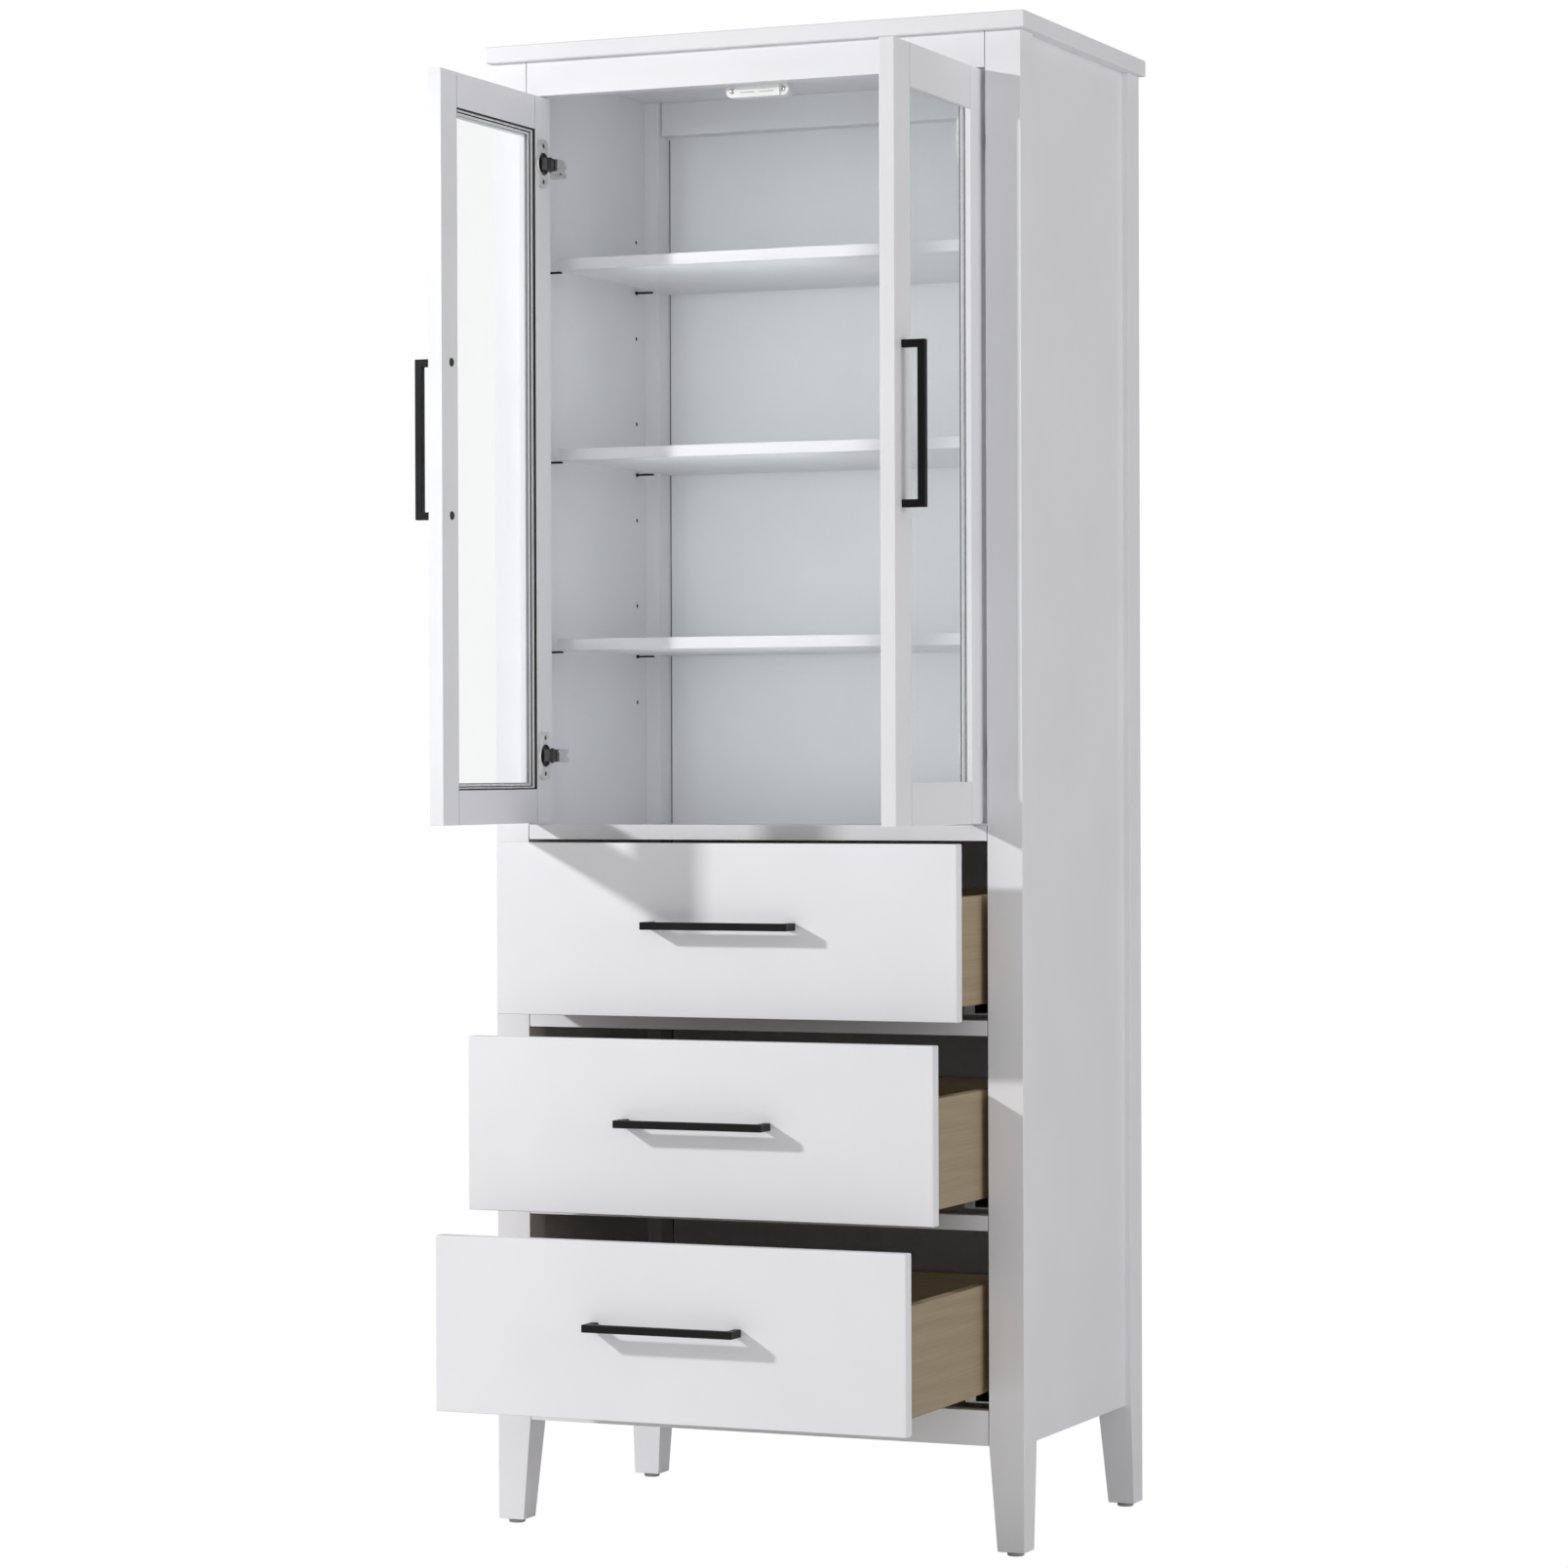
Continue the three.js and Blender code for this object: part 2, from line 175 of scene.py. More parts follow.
def wood(name, axis, light, dark):
    """Clear-coated pale wood with its grain along one axis: wide bands, fibres and pores."""
    made = Finish(name, Specular_IOR_Level=0.35)
    broad = squeezed(axis, along=1.6, across=34)
    rings = made.node("TexWave", wave_type="BANDS", bands_direction="DIAGONAL", wave_profile="SIN")
    made.feed(rings, Vector=made.place(broad), Scale=0.9, Distortion=3.2, Detail=3.0, Detail_Scale=0.8)
    patches = made.between(made.noise(1, broad, detail=3), 0, 1)
    bands = made.combined("MULTIPLY", made.between(rings.outputs["Fac"], 0, 1, 0.1, 0.9), patches)
    fibres = made.noise(1, squeezed(axis, along=9, across=520), detail=4, roughness=0.6)
    pores = made.noise(1, squeezed(axis, along=60, across=1500), detail=2)
    banded = made.mixed(bands, light, dark)
    lined = made.mixed(made.between(fibres, 0, 0.45, 0.45, 0.75), banded, shaded(dark, 0.86))
    made.colour(made.mixed(made.between(pores, 0, 0.4, 0.64, 0.74), lined, shaded(dark, 0.7)))
    made.rough(made.between(fibres, 0.42, 0.58))
    made.bump(fibres, 0.06 * MM, 0.5)
    return made.material


def metal(name, colour, smoothest, roughest, brushed=(1, 1, 1)):
    """Plated or bare metal with uneven polish."""
    made = Finish(name, Metallic=1.0)
    cloud = made.noise(60, detail=3)
    made.colour(made.mixed(made.between(cloud, 0, 1), shaded(colour, 0.86), colour))
    fine = made.noise(900, brushed, detail=3)
    made.rough(made.between(fine, smoothest, roughest))
    made.bump(fine, 0.02 * MM, 0.5)
    return made.material


def powder_coat(name, colour):
    """Black powder coat: a fine pebbled skin of uneven gloss."""
    made = Finish(name, Specular_IOR_Level=0.2)
    made.colour(made.mixed(made.between(made.noise(45), 0, 1), colour, shaded(colour, 1.35)))
    made.rough(made.between(made.noise(30, detail=4), 0.36, 0.52))
    pebbles = made.noise(1500, detail=2)
    made.bump(pebbles, 0.05 * MM, 0.55)
    return made.material


def plastic(name, colour, smoothest, roughest, grain=1200):
    """Moulded plastic, dark board, or the near-black of painted shade: one colour with a fine grain."""
    made = Finish(name, Specular_IOR_Level=0.5)
    made.colour(made.mixed(made.between(made.noise(40), 0, 1), colour, shaded(colour, 0.93)))
    made.rough(made.between(made.noise(90, detail=3), smoothest, roughest))
    made.bump(made.noise(grain, detail=2), 0.02 * MM, 0.5)
    return made.material


def clear_glass(name):
    """A pane that light passes straight through, with a faint pale green sheen that grows at a slant."""
    made = Finish(name, Base_Color=(0.80, 0.93, 0.92, 1), Specular_IOR_Level=0.5)
    slant = made.feed(made.node("Fresnel"), IOR=1.45).outputs[0]
    sheen = made.between(slant, 0.006, 0.15, 0.03, 1.0)
    smears = made.between(made.noise(6, detail=2), 0.0, 0.006)
    made.feed(made.shader, Alpha=made.combined("ADD", sheen, smears))
    made.rough(made.between(made.noise(9, detail=3), 0.02, 0.06))
    return made.material


X_AXIS, Y_AXIS, Z_AXIS = range(3)
WHITE = (0.86, 0.857, 0.886)
PALE_WOOD = (0.37, 0.294, 0.187)
WOOD_BANDS = (0.332, 0.261, 0.163)

PAINT = paint("white_paint", WHITE)
PAINT_UPRIGHT = paint("white_paint_upright", WHITE, grain=Z_AXIS)
PAINT_LEVEL = paint("white_paint_level", WHITE, grain=X_AXIS)
PAINT_DOOR_RAIL = paint("white_paint_door_rail", WHITE, grain=Y_AXIS)
WOOD_LENGTH = wood("pale_wood_lengthwise", Y_AXIS, PALE_WOOD, WOOD_BANDS)
WOOD_ACROSS = wood("pale_wood_crosswise", X_AXIS, PALE_WOOD, WOOD_BANDS)
BLACK = powder_coat("black_metal", (0.0055, 0.0055, 0.006))
NICKEL = metal("nickel", (0.62, 0.615, 0.6), 0.16, 0.3)
SATIN_NICKEL = metal("satin_nickel", (0.86, 0.85, 0.84), 0.36, 0.5)
DARK_STEEL = metal("dark_steel", (0.075, 0.073, 0.072), 0.34, 0.5)
MAGNET = metal("magnet_steel", (0.62, 0.62, 0.62), 0.3, 0.45)
ZINC = metal("zinc", (0.52, 0.53, 0.54), 0.3, 0.48, brushed=(1, 0.05, 1))
GLASS = clear_glass("clear_glass")
BEAD = plastic("grey_bead", (0.80, 0.815, 0.82), 0.2, 0.34)
# Near-black strips in the glazing gap and the bead's groove: painted shade.
SHADE_BLACK = plastic("painted_shade_black", (0.012, 0.012, 0.012), 0.45, 0.6)
CATCH_PLASTIC = plastic("white_plastic", (0.86, 0.86, 0.85), 0.25, 0.38)
GLIDE_PLASTIC = plastic("glide_plastic", (0.46, 0.46, 0.45), 0.4, 0.55)
# Near-black board: raw board darkened as painted shade in the support holes, and painted shadow in the back
# panel's grooves.
DARK_BOARD_SHADE = plastic("dark_board_and_painted_shade", (0.045, 0.036, 0.026), 0.8, 0.95, grain=900)

# ---------- building blocks ----------

SHARP = math.radians(30)      # an edge that bends more is rounded, on a piece with a rounding
CREASE = math.radians(1)      # an edge that bends less is flat
CORNER_STEPS = 5              # sides of a plate's rounded corner


def inner_x(s, low, high):
    """X of the face towards the cabinet's middle, of a box on side s."""
    return low.x if s > 0 else high.x


def outer_x(s, low, high):
    return high.x if s > 0 else low.x


def bridge(bm, ring, next_ring):
    """Faces between two rings with as many points."""
    for k in range(len(ring)):
        bm.faces.new((ring[k], ring[k - 1], next_ring[k - 1], next_ring[k]))


def slab(bm, corner, opposite):
    """Adds a block between two opposite corners."""
    spans = [sorted(pair) for pair in zip(corner, opposite)]
    corners = [bm.verts.new((x, y, z)) for x in spans[0] for y in spans[1] for z in spans[2]]
    rings = ((0, 1, 3, 2), (4, 6, 7, 5), (0, 4, 5, 1), (2, 3, 7, 6), (0, 2, 6, 4), (1, 5, 7, 3))
    for ring in rings:
        bm.faces.new([corners[k] for k in ring])


def block(corner, opposite):
    """A new mesh that holds one block."""
    bm = bmesh.new()
    slab(bm, corner, opposite)
    return bm


def prism(bm, outline, axis, low, high):
    """Adds an outline carried along an axis. Its points give the other two axes, in their order."""
    rings = []
    for level in sorted((low, high)):
        points = [list(point) for point in outline]
        for point in points:
            point.insert(axis, level)
        rings.append([bm.verts.new(point) for point in points])
    for ring in rings:
        bm.faces.new(ring)
    bridge(bm, *rings)


def placed(origin, direction):
    """The matrix that carries +Z at the origin to a direction at a point."""
    return Matrix.Translation(origin) @ Vector(direction).to_track_quat("Z", "Y").to_matrix().to_4x4()


def lathe(bm, profile, origin, direction, steps):
    """Adds a profile of (radius, height) turned round a line. It starts and ends on the line."""
    matrix = placed(origin, direction)
    rings = []
    for radius, height in profile:
        turns = steps if radius > 0 else 1
        angles = [2 * math.pi * k / steps for k in range(turns)]
        points = [(radius * math.cos(a), radius * math.sin(a), height) for a in angles]
        rings.append([bm.verts.new(matrix @ Vector(p)) for p in points])
    for below, above in zip(rings, rings[1:]):
        for k in range(steps):
            corners = (
                below[k % len(below)], below[(k + 1) % len(below)],
                above[(k + 1) % len(above)], above[k % len(above)],
            )
            bm.faces.new(list(dict.fromkeys(corners)))


def rod(bm, radius, origin, direction, length, steps):
    lathe(bm, [(0, 0), (radius, 0), (radius, length), (0, length)], origin, direction, steps)


def rounded_plate(centre, half_width, half_length, corner):
    """Outline of a plate with rounded corners."""
    points = []
    for quarter in range(4):
        across = (half_width - corner) * (1 if quarter in (0, 3) else -1)
        along = (half_length - corner) * (1 if quarter < 2 else -1)
        for k in range(CORNER_STEPS + 1):
            angle = math.pi / 2 * (quarter + k / CORNER_STEPS)
            a = across + corner * math.cos(angle)
            b = along + corner * math.sin(angle)
            points.append((centre[0] + a, centre[1] + b))
    return points


def mesh_of(name, bm):
    bmesh.ops.recalc_face_normals(bm, faces=bm.faces[:])
    mesh = bpy.data.meshes.new(name)
    bm.to_mesh(mesh)
    bm.free()
    return mesh


def shown_object(name, mesh):
    made = bpy.data.objects.new(name, mesh)
    bpy.context.scene.collection.objects.link(made)
    return made


def carve(name, bm, tools, operation="DIFFERENCE"):
    """A new bmesh: bm with the tools cut out of it, or joined to it."""
    base = shown_object(name, mesh_of(name, bm))
    tool = shown_object(name + "_tool", mesh_of(name + "_tool", tools))
    modifier = base.modifiers.new("carve", "BOOLEAN")
    modifier.operation = operation
    modifier.solver = "EXACT"
    modifier.object = tool
    bpy.context.view_layer.update()
    result = bpy.data.meshes.new_from_object(base.evaluated_get(bpy.context.evaluated_depsgraph_get()))
    made = bmesh.new()
    made.from_mesh(result)
    bmesh.ops.remove_doubles(made, verts=made.verts[:], dist=1e-6)
    for thing in (base, tool):
        bpy.data.objects.remove(thing)
    bpy.data.meshes.remove(result)
    return made


def join(name, base, *others):
    """One closed bmesh of several that run into each other."""
    for other in others:
        base = carve(name, base, other, "UNION")
    return base


def piece(name, bm, material, body, nodes=(), rounding=0.0, segments=3, smooth=False):
    """A finished piece: its edges, its material, the nodes it stands for and the body it moves with."""
    bmesh.ops.recalc_face_normals(bm, faces=bm.faces[:])
    for edge in bm.edges:
        bend = edge.calc_face_angle(0)
        edge.smooth = bend < CREASE or (smooth and bend < SHARP) or (rounding > 0 and bend > SHARP)
    for face in bm.faces:
        face.smooth = True
    mesh = bpy.data.meshes.new(name)
    bm.to_mesh(mesh)
    bm.free()
    mesh.materials.append(material)
    made = shown_object(name, mesh)
    if rounding > 0:
        bevel = made.modifiers.new("rounding", "BEVEL")
        bevel.width = rounding
        bevel.segments = segments
        bevel.limit_method = "ANGLE"
        bevel.angle_limit = SHARP
        bevel.harden_normals = True
        bevel.miter_outer = "MITER_ARC"
    if nodes:
        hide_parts(*nodes)
    if body is not None:
        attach(made, body)
    return made


def dress(node, material):
    """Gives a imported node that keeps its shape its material."""
    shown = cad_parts[node]
    shown.material_slots[0].material = material


def board(node, material, body, rounding):
    """A board with rounded edges in place of a packed one."""
    piece(f"{node}_board", block(*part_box(node)), material, body, [node], rounding)


def rail(node, material, body):
    """A rail between two posts. An open line shows at each end, with a tenon behind it."""
    low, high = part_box(node)
    gap = Vector((SEAM_GAP, 0, 0))
    sunk = Vector((-TENON, SEAM_DEPTH, SEAM_DEPTH))
    whole = join(node, block(low + gap, high - gap), block(low + sunk, high - sunk))
    piece(f"{node}_board", whole, material, body, [node], SEAM)


# ---------- screws ----------


def screw_head(radius, height):
    """A domed head with a cross recess, its seat at the origin and its axis +Z."""
    rim = 0.25 * height
    below_seat = -0.3 * height
    dome = [(0, below_seat), (radius, below_seat), (radius, rim)]
    for share in (0.86, 0.62, 0.34):
        dome.append((radius * share, rim + (height - rim) * math.sqrt(1 - share * share)))
    dome.append((0, height))
    head = bmesh.new()
    lathe(head, dome, (0, 0, 0), (0, 0, 1), steps=20)
    arm = 0.52 * radius
    half = 0.1 * radius
    outline = [
        (half, half), (arm, half), (arm, -half), (half, -half), (half, -arm), (-half, -arm),
        (-half, -half), (-arm, -half), (-arm, half), (-half, half), (-half, arm), (half, arm),
    ]
    recess = bmesh.new()
    prism(recess, outline, Z_AXIS, 0.35 * height, 2 * height)
    return mesh_of("screw", carve("screw", head, recess))


HANDLE_SCREW = screw_head(4.6 * MM, 1.9 * MM)
SMALL_SCREW = screw_head(3.2 * MM, 1.2 * MM)
TINY_SCREW = screw_head(2.2 * MM, 0.8 * MM)


def screws(name, head, places, material, body):
    """Copies of one head as one piece. Each place is (seat, direction out of the wood)."""
    bm = bmesh.new()
    for seat, direction in places:
        before = len(bm.verts)
        bm.from_mesh(head)
        bm.verts.ensure_lookup_table()
        bmesh.ops.transform(bm, matrix=placed(seat, direction), verts=bm.verts[before:])
    piece(name, bm, material, body, smooth=True)


# ---------- carcass ----------

LEG_FOOT = 30 * MM            # section of a leg at its foot
LEG_TOP = 115 * MM            # height where the legs start to taper

# The dark lines below are painted shadow lines: grooves in the back panel filled near-black where the
# joints fall into shade.
LINE_WIDTH = 1.2 * MM         # dark line between the back panel and each rear post
TOP_LINE_WIDTH = 2.0 * MM     # dark line under the rear top rail
LINE_DEPTH = 1.4 * MM
LINE_UNDER_POST = 0.5 * MM    # how far a line runs on behind its post
FILLING_SUNK = 0.5 * MM       # depth of the dark filling below the panel's face
FILLING_ROOT = 0.4 * MM       # how far the filling runs on past the groove's floor


def post(s, side, t, end):
    """A square post whose lower end, the leg, tapers on its two inner faces. T is -1 at the front."""
    node = f"post_{end}_{side}"
    low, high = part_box(node)
    outer = (outer_x(s, low, high), high.y if t > 0 else low.y)
    width = high.x - low.x
    bm = bmesh.new()
    rings = []
    for section, z in ((LEG_FOOT, low.z), (width, LEG_TOP), (width, high.z)):
        inner = (outer[0] - s * section, outer[1] - t * section)
        corners = (outer, (inner[0], outer[1]), inner, (outer[0], inner[1]))
        rings.append([bm.verts.new((x, y, z)) for x, y in corners])
    bm.faces.new(rings[0])
    bm.faces.new(rings[-1])
    for below, above in zip(rings, rings[1:]):
        bridge(bm, below, above)
    piece(f"{node}_leg", bm, PAINT_UPRIGHT, "cabinet", [node], rounding=0.5 * MM)


def back_panel():
    """The back panel, with grooves along the rear posts and the rear top rail that are filled dark as
    painted shadow lines.
    """
    low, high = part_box("back_panel")
    rail_low, rail_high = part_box("back_rail_top")
    line_top = rail_low.z - TOP_LINE_WIDTH
    lines = [((rail_low.x, line_top), (rail_high.x, rail_low.z))]
    for s, side in SIDES:
        edge = inner_x(s, *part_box(f"post_rear_{side}"))
        lines.append(((edge - s * LINE_WIDTH, low.z - OVERRUN), (edge + s * LINE_UNDER_POST, line_top)))
    grooves = bmesh.new()
    shade_fillings = bmesh.new()
    floor_y = low.y + LINE_DEPTH
    for (x0, z0), (x1, z1) in lines:
        slab(grooves, (x0, low.y - OVERRUN, z0), (x1, floor_y, z1))
        slab(shade_fillings, (x0, low.y + FILLING_SUNK, max(z0, low.z)), (x1, floor_y + FILLING_ROOT, z1))
    carved = carve("back", block(low, high), grooves)
    piece("back_panel_board", carved, PAINT, "cabinet", ["back_panel"])
    # The dark fillings are painted shade in the grooves.
    piece("back_panel_shade_lines", shade_fillings, DARK_BOARD_SHADE, "cabinet")


board("top_board", PAINT_LEVEL, "cabinet", rounding=1.6 * MM)
for s, side in SIDES:
    post(s, side, -1, "front")
    post(s, side, 1, "rear")
for node in ("rail_top", "rail_under_doors", "rail_drawers_upper", "rail_drawers_lower", "rail_bottom",
             "back_rail_top", "back_rail_bottom"):
    rail(node, PAINT_LEVEL, "cabinet")
for n in SHELVES:
    board(f"shelf_{n}", PAINT_LEVEL, "cabinet", rounding=0.9 * MM)
back_panel()
dress("floor_panel", PAINT_LEVEL)
dress("bottom_panel", PAINT_LEVEL)

# ---------- shelf supports and their holes ----------

SUPPORT_REACH = 21 * MM       # how far a support stands out of the side panel
SUPPORT_HALF = 4 * MM         # half its width
SUPPORT_THICK = 1.8 * MM
SUPPORT_FRONT = 7 * MM        # from the shelf's front edge to a front support's middle
SUPPORT_REAR = 55.4 * MM      # from the shelf's rear edge to a rear support's middle
PAD_THICK = 0.8 * MM          # the pad between a support and the shelf
PAD_REACH = 12 * MM
PAD_FROM_WALL = 8 * MM
PAD_MARGIN = 1 * MM           # how much narrower than its support a pad is, on each side
SHELF_GAP = 0.1 * MM          # air between a pad and the shelf
FACE_GAP = 0.05 * MM          # air between a support and the side panel
PIN_RADIUS = 2 * MM           # the pin that holds a support in its hole
PIN_LENGTH = 8 * MM
PIN_OUT = 1.5 * MM            # how far it starts out of the side panel

HOLE_RADIUS = 2.5 * MM
HOLE_DEPTH = 9 * MM
HOLE_STEP = 55.5 * MM         # spare holes above and below each shelf
HOLE_OVER = 1.2 * MM          # their middle, over the shelf's underside
LINING_GAP = 0.05 * MM        # between a hole's wall and its dark lining
LINING_THICK = 0.3 * MM
LINING_SUNK = 0.4 * MM        # how far the lining starts inside the hole

SUPPORT_Z = -(SHELF_GAP + PAD_THICK + SUPPORT_THICK / 2)    # a support's middle, from the shelf's underside


def support_places(n):
    """Y of the front and rear supports of a shelf, and the height of its underside."""
    low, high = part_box(f"shelf_{n}")
    return (low.y + SUPPORT_FRONT, high.y - SUPPORT_REAR), low.z


def side_panel(s, side):
    """A side panel with its holes for shelf supports, each with a dark lining: raw board inside the hole,
    darkened further as painted shade.
    """
    low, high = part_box(f"side_panel_{side}")
    wall = inner_x(s, low, high)
    outer = HOLE_RADIUS - LINING_GAP
    inner = outer - LINING_THICK
    lining = [
        (0, HOLE_DEPTH), (outer, HOLE_DEPTH), (outer, LINING_SUNK),
        (inner, LINING_SUNK), (inner, HOLE_DEPTH - LINING_SUNK), (0, HOLE_DEPTH - LINING_SUNK),
    ]
    holes = bmesh.new()
    linings = bmesh.new()
    for n in SHELVES:
        ys, underside = support_places(n)
        for y in ys:
            for z in (HOLE_OVER - HOLE_STEP, SUPPORT_Z, HOLE_OVER + HOLE_STEP):
                mouth = Vector((wall, y, underside + z))
                start = mouth - Vector((s * OVERRUN, 0, 0))
                rod(holes, HOLE_RADIUS, start, (s, 0, 0), HOLE_DEPTH + OVERRUN, steps=20)
                lathe(linings, lining, mouth, (s, 0, 0), steps=20)
    drilled = carve(f"side_panel_{side}", block(low, high), holes)
    piece(f"side_panel_{side}_board", drilled, PAINT_UPRIGHT, "cabinet", [f"side_panel_{side}"])
    # The linings are raw board inside the holes, darkened as painted shade.
    piece(f"support_holes_{side}", linings, DARK_BOARD_SHADE, "cabinet", smooth=True)


def tongue(bm, wall, s, y, low_z, high_z, half, reach):
    """Adds a flat tongue out of a wall, with a round end."""
    tip = wall - s * reach
    nose = [
        (tip + s * half * (1 - math.sin(a)), y + half * math.cos(a))
        for a in [math.pi * k / 8 for k in range(9)]
    ]
    prism(bm, [(wall, y - half)] + nose[::-1] + [(wall, y + half)], Z_AXIS, low_z, high_z)


def shelf_supports(n):
    """The four supports of a shelf, and the white pads on them."""
    supports = bmesh.new()
    pads = bmesh.new()
    ys, underside = support_places(n)
    top = underside - SHELF_GAP
    seat = top - PAD_THICK
    pad_base = seat + 0.02 * MM
    for s, side in SIDES:
        wall = inner_x(s, *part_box(f"side_panel_{side}"))
        face = wall - s * FACE_GAP
        for y in ys:
            tongue(supports, face, s, y, seat - SUPPORT_THICK, seat, SUPPORT_HALF, SUPPORT_REACH)
            pad_start = face - s * PAD_FROM_WALL
            tongue(pads, pad_start, s, y, pad_base, top, SUPPORT_HALF - PAD_MARGIN, PAD_REACH)
            pin = Vector((wall - s * PIN_OUT, y, underside + SUPPORT_Z))
            rod(supports, PIN_RADIUS, pin, (s, 0, 0), PIN_LENGTH, steps=16)
    piece(f"shelf_supports_{n}", supports, BLACK, "cabinet", rounding=0.4 * MM, segments=2)
    piece(f"shelf_support_pads_{n}", pads, CATCH_PLASTIC, "cabinet", rounding=0.3 * MM, segments=2)


for s, side in SIDES:
    side_panel(s, side)
for n in SHELVES:
    shelf_supports(n)

# ---------- catch and glides ----------

CATCH_EAR = 7.4 * MM          # radius of the round ear at each end, with a screw in it
CATCH_CASE = 1.4 * CATCH_EAR  # where the case starts, from each end
CATCH_BACK = 2.2 * CATCH_EAR  # where its higher back starts
CATCH_FACE = 0.7 * MM         # the case's face and its back's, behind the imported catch's
CATCH_BACK_FACE = 6 * MM
CATCH_STEP = 10 * MM          # from the top down to the case, and from the bottom up to the back
EAR_FACE = 2 * MM             # the ears' face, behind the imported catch's
EAR_SHORT = 5 * MM            # an ear is so much shorter than the catch is deep

MAGNET_APART = 11 * MM        # each magnet's middle, from the catch's
PLATE_HALF = 8 * MM           # half the length of a pole plate
PLATE_MIDDLE = 9.5 * MM       # height midway between a magnet's two plates, over the catch's bottom
PLATE_OFFSET = 4.2 * MM       # from there up and down to the plates' middles
PLATE_HALF_THICK = 0.7 * MM
PLATE_FACES = (0.1 * MM, 4 * MM)    # front and rear ends of the plates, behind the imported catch's face


def magnetic_catch():
    """A double catch: a case with two ears, and a pair of pole plates at each of its two magnets."""
    low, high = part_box("magnetic_catch")
    middle = (low.x + high.x) / 2
    ear_x = [middle + s * ((high.x - low.x) / 2 - CATCH_EAR) for s in (-1, 1)]
    ear_y = low.y + EAR_FACE
    ear_z = low.z + CATCH_EAR
    case = bmesh.new()
    slab(case, (low.x + CATCH_CASE, low.y + CATCH_FACE, low.z),
         (high.x - CATCH_CASE, high.y, high.z - CATCH_STEP))
    slab(case, (low.x + CATCH_BACK, low.y + CATCH_BACK_FACE, low.z + CATCH_STEP),
         (high.x - CATCH_BACK, high.y, high.z))
    ears = bmesh.new()
    for x in ear_x:
        rod(ears, CATCH_EAR, (x, ear_y, ear_z), (0, 1, 0), high.y - low.y - EAR_SHORT, steps=32)
    case = join("catch", case, ears)
    piece("magnetic_catch_body", case, CATCH_PLASTIC, "cabinet", ["magnetic_catch"], 0.8 * MM)

    plates = bmesh.new()
    front, rear = (low.y + depth for depth in PLATE_FACES)
    for s in (-1, 1):
        x = middle + s * MAGNET_APART
        for up in (-1, 1):
            z = low.z + PLATE_MIDDLE + up * PLATE_OFFSET
            slab(plates, (x - PLATE_HALF, front, z - PLATE_HALF_THICK),
                 (x + PLATE_HALF, rear, z + PLATE_HALF_THICK))
    piece("magnetic_catch_magnets", plates, MAGNET, "cabinet", rounding=0.2 * MM, segments=2)
    places = [((x, ear_y, ear_z), (0, -1, 0)) for x in ear_x]
    screws("magnetic_catch_screws", SMALL_SCREW, places, NICKEL, "cabinet")


def glide(node):
    """A round glide with a rounded rim, a dimple underneath and a narrower neck up to the leg."""
    low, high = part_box(node)
    centre = (low + high) / 2
    radius = (high.x - low.x) / 2
    height = high.z - low.z
    neck = radius - 2 * MM
    bm = bmesh.new()
    lathe(bm, [
        (0, 0.5 * MM), (2.2 * MM, 0.5 * MM), (2.6 * MM, 0), (radius - 1.2 * MM, 0),
        (radius - 0.35 * MM, 0.35 * MM), (radius, 1.2 * MM), (radius, height - 2 * MM),
        (radius - 0.5 * MM, height - 1.4 * MM), (neck, height - 1.2 * MM), (neck, height), (0, height),
    ], (centre.x, centre.y, low.z), (0, 0, 1), steps=40)
    piece(f"{node}_pad", bm, GLIDE_PLASTIC, "cabinet", [node], smooth=True)


magnetic_catch()
for side in ("left", "right"):
    for end in ("front", "rear"):
        glide(f"glide_{end}_{side}")

# ---------- handles ----------


def bar_pull(owner, body, side=None):
    """A square bar on two legs in place of a packed one: upright on a side's door, or level on a drawer."""
    low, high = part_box(f"{owner}_handle")
    if side is None:
        axis, edges = Z_AXIS, (low.z, high.z)
        start, end, foot, top = low.x, high.x, high.y, low.y
    else:
        axis, edges = Y_AXIS, (low.y, high.y)
        start, end, foot, top = low.z, high.z, low.x, high.x
        if side == "left":
            foot, top = top, foot
    bar = edges[1] - edges[0]
    under = top + math.copysign(bar, foot - top)
    outline = [
        (start, foot), (start, top), (end, top), (end, foot),
        (end - bar, foot), (end - bar, under), (start + bar, under), (start + bar, foot),
    ]
    if side is not None:
        outline = [(across, along) for along, across in outline]
    bm = bmesh.new()
    prism(bm, outline, axis, *edges)
    piece(f"{owner}_bar_pull", bm, BLACK, body, [f"{owner}_handle"], rounding=0.7 * MM)


# ---------- doors ----------

DOOR_MEMBER = 44 * MM         # width of the stiles and rails
DOOR_LIP = 6 * MM             # wood in front of the glass
RABBET = 7.5 * MM             # width of the step that holds the glass
DOOR_STEP = DOOR_MEMBER - RABBET
DOOR_SEAM_GAP = 1.1 * MM      # open width of the joint lines
CUP_BORE = 13.3 * MM          # radius and depth of the bores for the hinge cups
CUP_BORE_DEPTH = 11.3 * MM

# Sections of the strips round a pane, as (inset from the bead's outer edge, rise off the glass) in mm.
# The bead is a raised band, a groove and a thin lip. A black strip fills the gap between the band and the
# frame, and a dark line lies in the groove: both are painted shade where these gaps fall dark.
BEAD_SECTION = (
    (0.1, 0), (0.1, 3.4), (1.3, 3.4), (1.3, 3.9), (1.7, 4.3), (2.8, 4.3), (3.1, 4.0),
    (3.1, 0.6), (4.0, 0.6), (4.0, 1.2), (5.4, 1.0), (6.2, 0.3), (6.3, 0),
)
SHADE_GAP_SECTION = ((0.1, 3.45), (0.1, 6.2), (0.5, 6.6), (0.8, 6.6), (1.2, 6.2), (1.2, 3.45))
GROOVE_SHADE_SECTION = ((3.15, 0.65), (3.15, 2.1), (3.9, 2.1), (3.9, 0.65))


def hinge_height(side, level):
    low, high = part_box(f"hinge_cup_{side}_{level}")
    return (low.z + high.z) / 2


